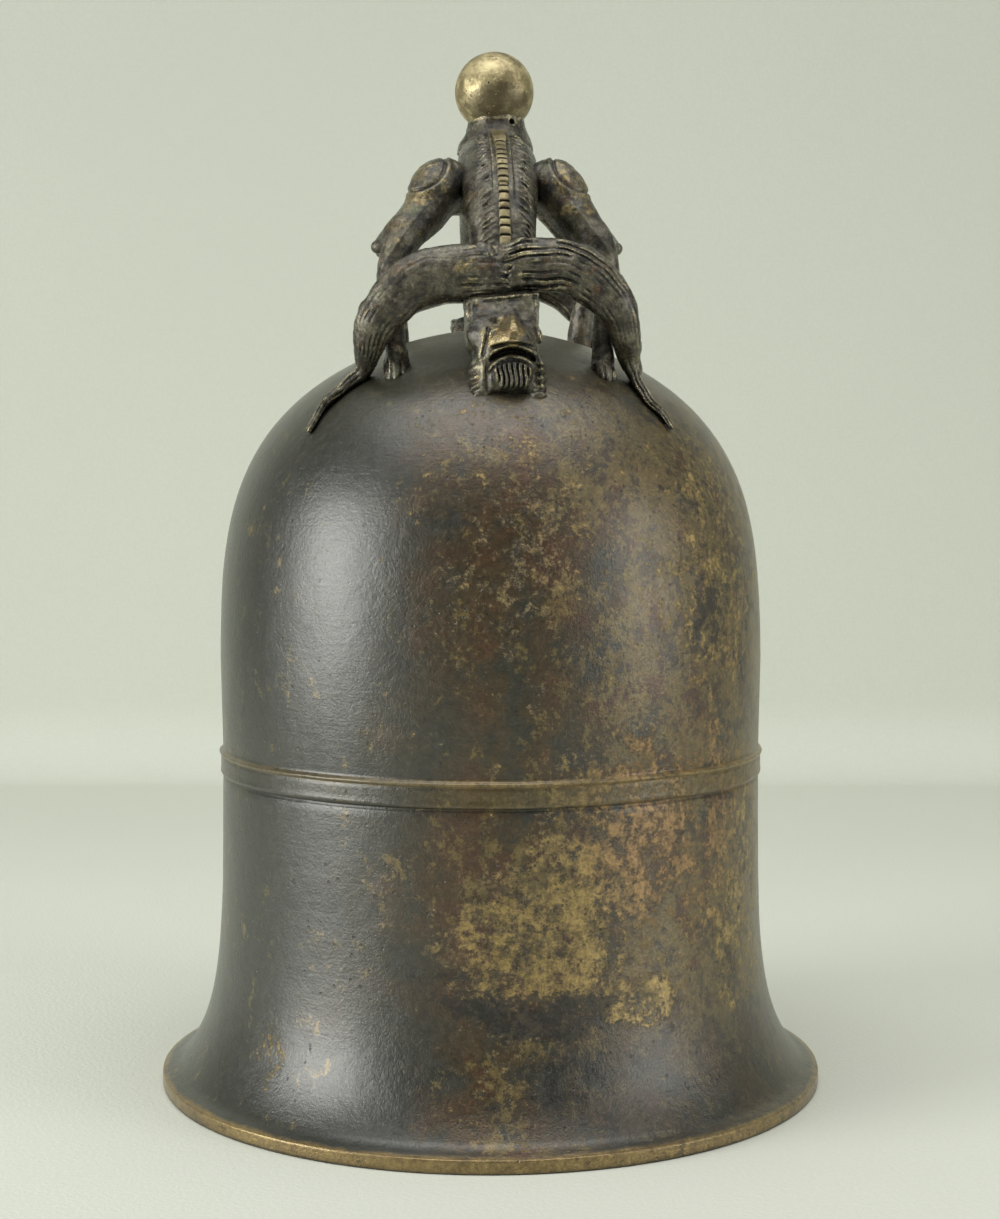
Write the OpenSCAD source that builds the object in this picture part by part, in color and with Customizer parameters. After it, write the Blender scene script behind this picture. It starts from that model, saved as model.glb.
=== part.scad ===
// Temple bell with a two-headed beast for a hanger, a jewel on top and an iron clapper inside.
// +Z is up. The origin is the centre of the mouth, on the plane that the rim stands on.
// The front, with the first head, faces -Y. The rear half of the hanger is the front half turned by 180.

/* [Bell] */
// Diameter of the mouth, across the lip
rim_d = 220; // [214:1:226]
// Height of the crown above the rim, without the hanger
crown_h = 249; // [244:1:256]
// Diameter of the waist, just below the band
waist_d = 178.6; // [176:0.2:181]
// Diameter of the shoulder, just above the band
shoulder_d = 179.8; // [178:0.2:182]
// Height of the domed part of the bell
dome_h = 130.8; // [126:0.2:135]
// Thickness of the wall
wall = 4.4; // [3.6:0.1:5.2]
// Height of the upright face of the lip
lip_h = 4.4; // [3:0.1:6]
// Height over which the flare dies away into the waist
flare_fade = 17.5; // [14:0.5:20]

/* [Band] */
// Height of the lower edge of the band around the waist
band_z = 102.6; // [90:0.2:108]
// Width of the band with its upper ridge
band_h = 8; // [6:0.2:9]
// How far the band stands out from the waist
band_proud = 0.7; // [0.4:0.1:1.2]

/* [Hanger] */
// Sideways shift of the hanger from the bell's axis
hanger_shift = 1.3; // [0:0.1:2]
// Turn of the hanger about the bell's axis, in degrees
hanger_turn = 3.4; // [0:0.2:5]
// Height of the hanger's back above the crown
arch_h = 63.6; // [62:0.1:65]
// Distance from the bell's axis to the neck of each head
arch_reach = 50; // [48:0.5:52]
// Diameter of the jewel
jewel_d = 26.6; // [24:0.2:28]
// Number of beads on each half of the back's ridge
bead_count = 13; // [8:1:16]

/* [Clapper] */
// Height of the clapper's pin above the rim
pin_z = 224; // [222:0.5:226]
// Diameter of the clapper's pin
pin_d = 6; // [5:0.5:7]
// Radial clearance of a part that turns on the pin
running_gap = 0.08; // [0.04:0.01:0.1]
// Diameter of the clapper's rod
rod_d = 9; // [8:0.5:10]
// Diameter of the striking ball
striker_d = 38; // [36:0.5:40]
// Height of the middle of the striking ball above the rim
striker_z = 46; // [44:0.5:52]

/* [Hidden] */

// Colours
patina = "#4b463b";
dark_patina = "#3b3832";
brassy = "#8c7a4c";
old_iron = "#4a4340";

// Bell: the dome is a superellipse, the flare an exponential curve
rim_r = rim_d / 2;
waist_r = waist_d / 2;
shoulder_r = shoulder_d / 2;
dome_z = crown_h - dome_h;
dome_side_power = 1.71;
dome_top_power = 4.05;
dome_step = 3;
crown_wall = 5;
inner_top = crown_h - crown_wall;
flare_out = 21.5;
flare_start = 7;
flare_end = 95;
flare_steps = 22;
lip_round = 0.5;
// The shoulder behind the lip's upper edge: how far in from the rim, and how far above the edge
lip_shoulder = [[1.5, 0.5], [3.2, 0.9], [5, 1.5]];
inner_flare_out = 18.5;
ridge_w = 1.6;

// Boss under the crown that holds the clapper's staple
boss_r = 16;
boss_z = inner_top - 6;
tenon_d = 6.5;
tenon_x = 8;
tenon_l = 8;

// Hanger: the jewel stands just clear of the back, and the collar fills the gap between them
collar_r = 9.4;
collar_foot_r = 12;
collar_below = 4;
collar_above = 5.4;
jewel_gap = 0.7;
arch_top_z = crown_h + arch_h;
jewel_z = arch_top_z + jewel_gap + jewel_d / 2;
dowel_d = 5;
dowel_low = arch_top_z - 8;
dowel_high = jewel_z + 5;
limb_sides = 14;
body_sides = 20;
ridge_sides = 8;
path_steps = 4;

// Each path point is x, y, z above the crown, the half size square to the limb's flat way, and the half
// size along its flat way. The flat way is X for the back, the heads and the ridges, and Y for the rest.

// The front half of the back, from the neck to just before the top
arch_half = [
    [0, -arch_reach, 7, 8, 9.5],
    [0, -arch_reach + 4.5, 21, 8, 10],
    [0, -arch_reach + 14, 36, 8.4, 11.4],
    [0, -arch_reach + 28, 48, 8.8, 12.8],
    [0, -arch_reach + 40, 54, 8.8, 12.4]
];
arch_top = [0, 0, arch_h - 8.8, 8.8, 11.8];
rear_narrow = 0.88;

// The ridge: the steps of the back's path that it covers, its section and its beads
ridge_first = 4;
ridge_last = 16;
ridge_steps = 3;
ridge_half_w = 1.65;
ridge_half_h = 1.5;
ridge_sunk = 0.4;
bead_swell = 0.35;

// The head, from the nape to the chin
head_path = [
    [0, -49, 11, 6.5, 9],
    [0, -50.5, 7, 8.5, 11.2],
    [0, -54, -2, 9.6, 11.8],
    [0, -57, -10, 9.8, 11.4],
    [0, -58.5, -18, 8.6, 10.6],
    [0, -59, -25, 6.6, 9]
];
rear_head_wide = 1.2;

// The legs, from the haunch over the hock to the sole, drawn on the right side
front_leg_path = [
    [9, -19, 43, 6, 6],
    [18.3, -23, 43.4, 9.3, 9.2],
    [24.2, -28, 34.4, 7.3, 7.2],
    [31.2, -32.5, 25.4, 5.7, 5.6],
    [34.8, -36, 14, 4.3, 4.2],
    [34, -38, 3, 3.6, 3.6],
    [33.4, -40, -7, 3.2, 3.6],
    [33.3, -41.5, -13, 3.8, 4.2],
    [33.4, -43, -18, 4.1, 4.6],
    [33.4, -44, -22, 4.1, 4.6]
];
rear_leg_path = [
    [9, -19, 46, 6, 6],
    [18, -23, 47.5, 7.8, 7.8],
    [24.5, -28, 40.5, 6, 6],
    [30.5, -32, 32.5, 5, 5],
    [34.8, -35, 22, 4.2, 4.1],
    [33.6, -37, 11, 4.1, 3.9],
    [32.2, -38.5, 2, 4.2, 3.9],
    [32, -40.5, -7, 4.2, 3.9],
    [32.2, -42, -13, 4.2, 4.3],
    [32.6, -43.5, -18, 4.3, 4.6],
    [32.8, -44.5, -22, 4.3, 4.6]
];
// The front right leg stands further in than the left one
right_leg_in = 0.955;

// The locks of the mane, from the nape to the tip of the tail, drawn on the right side
left_lock_path = [
    [7, -51.5, 14, 8.8, 5.8],
    [12.3, -51.5, 13.7, 8.8, 5.7],
    [20.4, -51.4, 13, 8.5, 5.4],
    [31.7, -51, 7.5, 8, 5],
    [40.2, -49, -4.2, 6.5, 4.4],
    [41.6, -45, -10, 4.7, 3.9],
    [43, -40.5, -15.6, 3, 3.2],
    [46.8, -40.2, -19, 2.2, 2.4],
    [50.9, -41.2, -22.3, 1.9, 2.1],
    [55.8, -42.6, -27, 1.6, 1.8],
    [60, -46.2, -34.2, 1.1, 1.3]
];
right_lock_path = [
    [6, -51.5, 15.8, 8.4, 5.8],
    [10.3, -51.5, 15.9, 8.4, 5.7],
    [18.5, -51.3, 15.7, 8.4, 5.4],
    [31.2, -50.6, 8.2, 7.4, 4.9],
    [38.7, -46, -5.7, 4.8, 4.2],
    [39.8, -42, -11.5, 3.7, 3.6],
    [41.6, -41, -16.2, 2.7, 3],
    [42.6, -43.6, -20, 2.2, 2.4],
    [45.3, -48.4, -25.4, 1.9, 2.1],
    [48.8, -49.8, -28.8, 1.6, 1.8],
    [51.8, -52.1, -33.4, 1.1, 1.3]
];
rear_lock_path = [
    [7, -51.2, 22, 6.3, 5.6],
    [14, -51.2, 21.4, 6.3, 5.4],
    [22, -51, 19, 6, 5],
    [30, -50.5, 13.6, 5.3, 4.6],
    [36.5, -48.5, 4.6, 4.7, 4.2],
    [40, -45, -6, 4, 3.6],
    [42.5, -40.5, -15.5, 3, 3],
    [46, -40.5, -19.2, 2.2, 2.4],
    [51, -42.5, -24, 1.8, 2],
    [56, -47, -33.5, 1.1, 1.3]
];
// The root of the rear left lock hangs lower than the right one's
rear_left_drop = 3.5;

// Clapper
eye_w = 9;
side_gap = 0.5;
lug_t = 6;
lug_r = 7;
lug_x = eye_w / 2 + side_gap + lug_t / 2;
lug_face = lug_x + lug_t / 2;
yoke_t = 4;
washer_t = 1.2;
pin_head_r = pin_d / 2 + 2;
pin_head_t = 2.4;
pin_fit = 0.04;
striker_flat = striker_d / 2 - 1.5;
rod_collar_r = 7;
rod_collar_t = 4;
peen_r = 6;
peen_t = 3;

$fn = 96;

// ---- Curves ----

// A point of a Catmull-Rom curve between p1 and p2
function curve_point(p0, p1, p2, p3, t) =
    0.5 * (2 * p1 + (p2 - p0) * t + (2 * p0 - 5 * p1 + 4 * p2 - p3) * t * t
        + (3 * p1 - p0 - 3 * p2 + p3) * t * t * t);

// A smooth run of points through a list of points
function smooth(p, steps) = concat(
    [for (i = [0 : len(p) - 2], k = [0 : steps - 1])
        curve_point(p[max(i - 1, 0)], p[i], p[i + 1], p[min(i + 2, len(p) - 1)], k / steps)],
    [p[len(p) - 1]]);

function unit(v) = v / norm(v);
function place(p) = [p[0], p[1], p[2]];
function direction(p, i) = unit(place(p[min(i + 1, len(p) - 1)]) - place(p[max(i - 1, 0)]));

// One ring of a swept tube: an ellipse square to the path, with its flat way set by a direction
function ring(at, along, flat_way, square_size, flat_size, sides) =
    let (v = unit(flat_way - along * (flat_way * along)), u = cross(along, v))
    [for (k = [0 : sides - 1])
        at + u * square_size * cos(k * 360 / sides) + v * flat_size * sin(k * 360 / sides)];

// A closed tube along a path
module tube(p, flat_way, sides) {
    n = len(p);
    points = [for (i = [0 : n - 1])
        each ring(place(p[i]), direction(p, i), flat_way, p[i][3], p[i][4], sides)];
    walls = [for (i = [0 : n - 2], k = [0 : sides - 1])
        let (a = i * sides + k, b = i * sides + (k + 1) % sides)
        each [[a, b, b + sides], [a, b + sides, a + sides]]];
    first_end = [[for (k = [sides - 1 : -1 : 0]) k]];
    last_end = [[for (k = [0 : sides - 1]) (n - 1) * sides + k]];
    polyhedron(points, concat(first_end, walls, last_end));
}

// ---- Bell shell ----

function dome(r, h, t) = [r * pow(cos(t), 2 / dome_side_power), dome_z + h * pow(sin(t), 2 / dome_top_power)];
function waist(z) = waist_r + flare_out * exp(-z / flare_fade);
function inner_waist(z) = waist_r - wall + inner_flare_out * exp(-z / flare_fade);
function flare_z(i) = flare_start + (flare_end - flare_start) * pow(i / flare_steps, 1.6);

outer_lip = [
    [rim_r - lip_round, 0],
    [rim_r, lip_round],
    [rim_r, lip_h - lip_round],
    [rim_r - lip_round / 2, lip_h]
];
outer_shoulder = [for (s = lip_shoulder) [rim_r - s[0], lip_h + s[1]]];
outer_flare = [for (i = [0 : flare_steps]) [waist(flare_z(i)), flare_z(i)]];
outer_band = [
    [waist_r, band_z - 1.2],
    [waist_r - 0.5, band_z - 0.8],
    [waist_r - 0.5, band_z - 0.2],
    [waist_r + band_proud, band_z + 0.4],
    [waist_r + band_proud + 0.2, band_z + 1.1],
    [waist_r + band_proud, band_z + 1.8],
    [waist_r + band_proud, band_z + band_h - ridge_w - 0.4],
    [waist_r + band_proud - 0.2, band_z + band_h - ridge_w],
    [waist_r + band_proud + 0.6, band_z + band_h - ridge_w + 0.4],
    [waist_r + band_proud + 0.6, band_z + band_h - 0.4],
    [waist_r, band_z + band_h],
    [waist_r - 0.2, band_z + band_h + 0.8]
];
outer_dome = [for (t = [1, each [dome_step : dome_step : 90]]) dome(shoulder_r, dome_h, t)];
inner_dome = [for (t = [90 : -dome_step : dome_step]) dome(shoulder_r - wall, dome_h - crown_wall, t)];
inner_flare = [for (i = [flare_steps : -1 : 0]) let (z = flare_z(i) - flare_start) [inner_waist(z), z]];

module bell_shell() {
    color(patina)
    difference() {
        union() {
            rotate_extrude() polygon(concat(outer_lip, outer_shoulder, outer_flare, outer_band, outer_dome,
                inner_dome, inner_flare));
            translate([0, 0, boss_z]) cylinder(r = boss_r, h = inner_top - boss_z + crown_wall / 2);
        }
        tenons();
    }
}

// The two tenons of the staple, which the boss holds
module tenons() {
    for (side = [-1, 1])
        translate([side * tenon_x, 0, boss_z - 0.01])
            cylinder(d = tenon_d, h = tenon_l + 0.01);
}

// ---- Hanger ----

// Stands a piece of the front half in its place
module front() {
    translate([hanger_shift, 0, crown_h]) rotate([0, 0, hanger_turn]) children();
}

// Stands the same piece in its place on the rear half
module rear() {
    translate([hanger_shift, 0, crown_h]) rotate([0, 0, hanger_turn + 180]) children();
}

module mirrored() {
    mirror([1, 0, 0]) children();
}

function turned(p) = [p[0], -p[1], p[2], p[3], p[4] * rear_narrow];
arch_rear = [for (i = [len(arch_half) - 1 : -1 : 0]) turned(arch_half[i])];
arch_path = smooth(concat(arch_half, [arch_top], arch_rear), path_steps);

module arch() {
    front() tube(arch_path, [1, 0, 0], body_sides);
}

// The outside of the dome as a solid, which every chin, sole and tail is fitted to
module dome_solid() {
    rotate_extrude() polygon(concat([[0, dome_z], [shoulder_r, dome_z]], outer_dome));
}

module head(wide = 1) {
    tube(smooth([for (p = head_path) [p[0], p[1], p[2], p[3], p[4] * wide]], path_steps), [1, 0, 0], body_sides);
}

module leg(path, drawn_in = 1) {
    tube(smooth([for (p = path) [p[0] * drawn_in, p[1], p[2], p[3], p[4]]], path_steps), [0, 1, 0], limb_sides);
}

// A lock, with its root lowered by drop
module lock(path, drop = 0) {
    tube(smooth([for (i = [0 : len(path) - 1])
        let (p = path[i]) [p[0], p[1], p[2] - drop * max(0, 1 - i / 6), p[3], p[4]]], path_steps),
        [0, 1, 0], limb_sides);
}

// The ridge follows the outer side of the back and swells at each bead
module ridge() {
    base = [for (i = [ridge_first : ridge_last])
        let (p = arch_path[i], out = cross([1, 0, 0], direction(arch_path, i)))
        concat(place(p) + out * (p[3] - ridge_sunk), [ridge_half_h, ridge_half_w])];
    fine = smooth(base, ridge_steps);
    tube([for (i = [0 : len(fine) - 1])
        let (f = fine[i], swell = bead_swell * abs(sin(i * 180 * bead_count / (len(fine) - 1))))
        [f[0], f[1], f[2], f[3] + swell, f[4] + swell]], [1, 0, 0], ridge_sides);
}

// A leg or a head is cut to fit the back and the dome, and a lock is also cut to fit its head
module fitted_head() {
    difference() {
        children();
        arch();
        dome_solid();
    }
}

module fitted_leg() {
    difference() {
        children();
        arch();
        dome_solid();
    }
}

module fitted_lock() {
    difference() {
        children(0);
        children(1);
        arch();
        dome_solid();
    }
}

module fitted_ridge() {
    difference() {
        children();
        arch();
    }
}

module hanger_body() {
    color(dark_patina)
    difference() {
        arch();
        jewel_dowel();
    }
}

module front_head() { color(dark_patina) fitted_head() front() head(); }
module rear_head() { color(dark_patina) fitted_head() rear() head(rear_head_wide); }
module front_left_leg() { color(patina) fitted_leg() front() mirrored() leg(front_leg_path); }
module front_right_leg() { color(patina) fitted_leg() front() leg(front_leg_path, right_leg_in); }
module rear_left_leg() { color(patina) fitted_leg() rear() leg(rear_leg_path); }
module rear_right_leg() { color(patina) fitted_leg() rear() mirrored() leg(rear_leg_path); }
module front_left_lock() {
    color(dark_patina) fitted_lock() { front() mirrored() lock(left_lock_path); front() head(); }
}
module front_right_lock() {
    color(dark_patina) fitted_lock() { front() lock(right_lock_path); front() head(); }
}
module rear_left_lock() {
    color(dark_patina) fitted_lock() { rear() lock(rear_lock_path, rear_left_drop); rear() head(rear_head_wide); }
}
module rear_right_lock() {
    color(dark_patina) fitted_lock() { rear() mirrored() lock(rear_lock_path); rear() head(rear_head_wide); }
}
module front_spine_ridge() { color(brassy) fitted_ridge() front() ridge(); }
module rear_spine_ridge() { color(brassy) fitted_ridge() rear() ridge(); }

module jewel_collar() {
    color(dark_patina)
    difference() {
        translate([hanger_shift, 0, arch_top_z - collar_below]) {
            cylinder(r1 = collar_foot_r, r2 = collar_r, h = collar_below + 1);
            cylinder(r = collar_r, h = collar_below + collar_above);
        }
        jewel_dowel();
        jewel_sphere();
        arch();
    }
}

module jewel_sphere() {
    translate([hanger_shift, 0, jewel_z]) sphere(d = jewel_d);
}

module jewel_ball() {
    color(brassy)
    difference() {
        jewel_sphere();
        jewel_dowel();
    }
}

module jewel_dowel() {
    color(old_iron)
    translate([hanger_shift, 0, dowel_low]) cylinder(d = dowel_d, h = dowel_high - dowel_low);
}

// ---- Clapper ----

// A round bar along X, from x = a to x = b at the height of the pin
module pin_bar(d, a, b) {
    translate([a, 0, pin_z]) rotate([0, 90, 0]) cylinder(d = d, h = b - a);
}

module clapper_staple() {
    color(old_iron)
    difference() {
        union() {
            tenons();
            translate([-lug_face, -lug_r, boss_z - yoke_t]) cube([2 * lug_face, 2 * lug_r, yoke_t]);
            for (side = [-1, 1]) {
                translate([side * lug_x - lug_t / 2, -lug_r, pin_z])
                    cube([lug_t, 2 * lug_r, boss_z - yoke_t / 2 - pin_z]);
                pin_bar(2 * lug_r, side * lug_x - lug_t / 2, side * lug_x + lug_t / 2);
            }
        }
        pin_bar(pin_d + 2 * pin_fit, -lug_face - 1, lug_face + 1);
    }
}

module clapper_pin() {
    shank_end = lug_face + washer_t;
    color(old_iron) {
        pin_bar(pin_d, -shank_end, shank_end);
        pin_bar(2 * pin_head_r, -shank_end - pin_head_t, -shank_end);
        pin_bar(2 * pin_head_r, shank_end, shank_end + pin_head_t);
    }
}

module pin_washers() {
    color(old_iron)
    for (side = [-1, 1])
        difference() {
            pin_bar(2 * pin_head_r + 2, side * (lug_face + washer_t / 2) - washer_t / 2,
                side * (lug_face + washer_t / 2) + washer_t / 2);
            pin_bar(pin_d + 2 * pin_fit, -lug_face - 2 * washer_t, lug_face + 2 * washer_t);
        }
}

module clapper_rod() {
    washer_low = striker_z - striker_flat - washer_t;
    color(old_iron)
    difference() {
        union() {
            pin_bar(2 * lug_r, -eye_w / 2, eye_w / 2);
            translate([0, 0, washer_low]) cylinder(d = rod_d, h = pin_z - washer_low);
            translate([0, 0, striker_z + striker_flat]) cylinder(r = rod_collar_r, h = rod_collar_t);
            translate([0, 0, striker_z + striker_flat + rod_collar_t])
                cylinder(r1 = rod_collar_r, r2 = rod_d / 2, h = rod_collar_t);
            translate([0, 0, washer_low - peen_t]) cylinder(r1 = rod_d / 2, r2 = peen_r, h = peen_t);
        }
        pin_bar(pin_d + 2 * running_gap, -eye_w, eye_w);
    }
}

module clapper_ball() {
    color(brassy)
    translate([0, 0, striker_z])
    difference() {
        intersection() {
            sphere(d = striker_d);
            cube([striker_d, striker_d, 2 * striker_flat], center = true);
        }
        cylinder(d = rod_d + 2 * pin_fit, h = striker_d, center = true);
    }
}

module ball_washer() {
    color(old_iron)
    translate([0, 0, striker_z - striker_flat - washer_t])
    difference() {
        cylinder(r = rod_collar_r, h = washer_t);
        translate([0, 0, -1]) cylinder(d = rod_d + 2 * pin_fit, h = washer_t + 2);
    }
}

bell_shell();
hanger_body();
front_head();
rear_head();
front_left_leg();
front_right_leg();
rear_left_leg();
rear_right_leg();
front_left_lock();
front_right_lock();
rear_left_lock();
rear_right_lock();
front_spine_ridge();
rear_spine_ridge();
jewel_collar();
jewel_ball();
jewel_dowel();
clapper_staple();
clapper_pin();
pin_washers();
clapper_rod();
clapper_ball();
ball_washer();
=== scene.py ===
"""Temple bell with a two-headed beast hanger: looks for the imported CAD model.

Shapes are worked out in millimetres and turned into metres when a mesh is made. The hanger's pieces are
sculpted as distance fields in the hanger's own frame: x to the right, -y to the front, z up from the crown.
"""

import math

import bpy
import numpy as np
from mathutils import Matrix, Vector


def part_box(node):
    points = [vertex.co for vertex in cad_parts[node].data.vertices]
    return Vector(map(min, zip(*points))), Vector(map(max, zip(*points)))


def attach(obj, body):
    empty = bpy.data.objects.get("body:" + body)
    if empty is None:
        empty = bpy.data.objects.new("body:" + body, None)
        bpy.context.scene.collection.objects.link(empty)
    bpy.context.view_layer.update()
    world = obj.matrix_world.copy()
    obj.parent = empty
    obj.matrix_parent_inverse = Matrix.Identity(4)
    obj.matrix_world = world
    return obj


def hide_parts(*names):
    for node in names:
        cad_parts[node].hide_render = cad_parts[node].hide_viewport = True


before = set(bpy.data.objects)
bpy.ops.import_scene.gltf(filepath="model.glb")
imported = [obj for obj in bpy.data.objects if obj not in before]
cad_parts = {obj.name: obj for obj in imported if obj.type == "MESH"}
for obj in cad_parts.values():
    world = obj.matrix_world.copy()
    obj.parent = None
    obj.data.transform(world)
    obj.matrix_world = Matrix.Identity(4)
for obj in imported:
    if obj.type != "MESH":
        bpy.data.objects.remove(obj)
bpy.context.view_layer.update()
MM = 0.001

# ---- Sizes, from the frame ----

shell_low, shell_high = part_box("bell_shell")
jewel_low, jewel_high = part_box("jewel_ball")
RIM_R = round((shell_high.x - shell_low.x) / 2 / MM)
CROWN_H = shell_high.z / MM
JEWEL_R = (jewel_high.z - jewel_low.z) / 2 / MM
JEWEL_Z = (jewel_high.z + jewel_low.z) / 2 / MM
HANGER_SHIFT = (jewel_high.x + jewel_low.x) / 2 / MM

# Sizes that no box in the frame gives, in mm, the same as in the part's source
HANGER_TURN = math.radians(3.4)
WALL = 4.4
CROWN_WALL = 5.0
WAIST_R = 89.3
SHOULDER_R = 89.9
DOME_H = 130.8
DOME_Z = CROWN_H - DOME_H
DOME_SIDE_POWER = 1.71
DOME_TOP_POWER = 4.05
LIP_H = 4.4
FLARE_OUT = 21.5
INNER_FLARE_OUT = 18.5
FLARE_START = 7.0
FLARE_FADE = 17.5
BAND_Z = 102.6
BAND_H = 8.0
BAND_PROUD = 0.7
RIDGE_W = 1.6
BOSS_R = 16.0
BOSS_H = 6.0
ARCH_H = 63.6
SEGMENTS = 320


# ---- Numbers: noise, curves and distance fields ----

def value_noise(points, size, seed):
    """Smooth noise from -1 to 1, which changes over about size."""
    table = np.random.default_rng(seed).random((24, 24, 24)) * 2 - 1
    place = points.T / size + 1000.0
    cell = np.floor(place).astype(int)
    share = place - cell
    share = share * share * (3 - 2 * share)
    index = (cell % 24, (cell + 1) % 24)
    weight = (1 - share, share)
    total = np.zeros(len(points))
    for i, j, k in np.ndindex(2, 2, 2):
        here = table[index[i][0], index[j][1], index[k][2]]
        total += weight[i][0] * weight[j][1] * weight[k][2] * here
    return total


def smooth_path(points, steps=4):
    """Catmull-Rom curve through rows of numbers."""
    p = np.array(points, float)
    p = np.vstack([p[0], p, p[-1]])
    rows = []
    for i in range(1, len(p) - 2):
        for t in np.arange(steps) / steps:
            a, b, c, d = p[i - 1:i + 3]
            rows.append(0.5 * (2 * b + (c - a) * t + (2 * a - 5 * b + 4 * c - d) * t ** 2
                               + (3 * b - a - 3 * c + d) * t ** 3))
    rows.append(p[-2])
    return np.array(rows)


def bump(x, width):
    """A bell curve, 1 at x = 0, which fades over width."""
    return np.exp(-(x / width) ** 2)


def rise(x, low, high):
    """0 below low, 1 above high and smooth between."""
    t = np.clip((x - low) / (high - low), 0, 1)
    return t * t * (3 - 2 * t)


def join(a, b, k):
    """Union of two fields with a fillet of about k."""
    h = np.clip(0.5 + 0.5 * (b - a) / k, 0, 1)
    return b * (1 - h) + a * h - k * h * (1 - h)


def unit(v):
    return v / np.linalg.norm(v, axis=-1, keepdims=True)


def ellipsoid(p, centre, sizes):
    """Distance to an ellipsoid, close to true near its surface."""
    q = (p - np.array(centre)) / np.array(sizes)
    k = np.linalg.norm(q, axis=1)
    g = np.linalg.norm(q / np.array(sizes), axis=1)
    return k * (k - 1) / np.maximum(g, 1e-6)


def rounded_box(p, centre, half, radius, tilt):
    """Distance to a box with round edges, tilted about X so that its top leans forward."""
    q = p - np.array(centre)
    c, s = math.cos(tilt), math.sin(tilt)
    q = np.column_stack([q[:, 0], c * q[:, 1] + s * q[:, 2], c * q[:, 2] - s * q[:, 1]])
    q = np.abs(q) - (np.array(half) - radius)
    return np.linalg.norm(np.maximum(q, 0), axis=1) + np.minimum(q.max(axis=1), 0) - radius


class Limb:
    """A swept, round-ended limb. A path row is x, y, z, the half size across the flat way and along it."""

    def __init__(self, path, flat_way, steps=4):
        rows = smooth_path(path, steps)
        self.centre = rows[:, :3]
        self.size = rows[:, 3:5]
        along = unit(np.gradient(self.centre, axis=0))
        flat = np.array(flat_way, float)
        self.v = unit(flat - along * (along @ flat)[:, None])
        self.u = np.cross(along, self.v)
        self.along = along
        steps_long = np.linalg.norm(np.diff(self.centre, axis=0), axis=1)
        self.arc = np.concatenate([[0], np.cumsum(steps_long)])

    def nearest(self, p):
        """Where on the path each point is nearest, in path steps."""
        gaps = (self.centre ** 2).sum(axis=1) - 2 * (p @ self.centre.T)
        closest = gaps.argmin(axis=1)
        at = np.zeros(len(p))
        best = np.full(len(p), np.inf)
        for back in (1, 0):
            i = np.clip(closest - back, 0, len(self.centre) - 2)
            start, step = self.centre[i], self.centre[i + 1] - self.centre[i]
            offset = p - start
            t = np.clip((offset * step).sum(axis=1) / (step * step).sum(axis=1), 0, 1)
            gap = ((offset - t[:, None] * step) ** 2).sum(axis=1)
            closer = gap < best
            best[closer] = gap[closer]
            at[closer] = (i + t)[closer]
        return at

    def measure(self, p):
        """Distance, length along the limb, and how far a point is across it in millimetres, both ways."""
        at = self.nearest(p)
        i = np.minimum(at.astype(int), len(self.centre) - 2)
        w = (at - i)[:, None]

        def between(rows):
            return rows[i] * (1 - w) + rows[i + 1] * w

        r = p - between(self.centre)
        size = between(self.size)
        x = (r * between(self.u)).sum(axis=1)
        y = (r * between(self.v)).sum(axis=1)
        z = (r * between(self.along)).sum(axis=1)
        a, b = size[:, 0], size[:, 1]
        e = np.minimum(a, b)
        k = np.sqrt((x / a) ** 2 + (y / b) ** 2 + (z / e) ** 2)
        g = np.sqrt((x / a ** 2) ** 2 + (y / b ** 2) ** 2 + (z / e ** 2) ** 2)
        arc = between(self.arc[:, None])[:, 0]
        return k * (k - 1) / np.maximum(g, 1e-6), arc, x, y


# ---- Meshes ----

def mesh_object(name, verts, faces, material):
    """Object from vertices in millimetres and quads, shaded smooth."""
    mesh = bpy.data.meshes.new(name)
    mesh.vertices.add(len(verts))
    mesh.vertices.foreach_set("co", (np.asarray(verts) * MM).astype(np.float32).ravel())
    mesh.loops.add(faces.size)
    mesh.loops.foreach_set("vertex_index", faces.astype(np.int32).ravel())
    mesh.polygons.add(len(faces))
    mesh.polygons.foreach_set("loop_start", np.arange(0, faces.size, 4, dtype=np.int32))
    mesh.update(calc_edges=True)
    mesh.shade_smooth()
    mesh.materials.append(material)
    obj = bpy.data.objects.new(name, mesh)
    bpy.context.scene.collection.objects.link(obj)
    return obj


def stands_for(obj, node, body):
    """obj replaces a CAD node and rides on its body."""
    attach(obj, body)
    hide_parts(node)


def revolved(name, outline, material, relief):
    """Object turned about Z from a closed outline of (radius, height) points. relief moves its vertices."""
    angle = np.arange(SEGMENTS) * 2 * math.pi / SEGMENTS
    r, z = np.array(outline).T
    verts = np.stack([np.outer(r, np.cos(angle)), np.outer(r, np.sin(angle)),
                      np.outer(z, np.ones(SEGMENTS))], axis=-1).reshape(-1, 3)
    ring = np.arange(SEGMENTS)
    after = (ring + 1) % SEGMENTS
    starts = np.arange(len(outline)) * SEGMENTS
    quads = [np.column_stack([ring + here, after + here, after + above, ring + above])
             for here, above in zip(starts, np.roll(starts, -1))]
    return mesh_object(name, relief(verts), np.vstack(quads), material)


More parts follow.
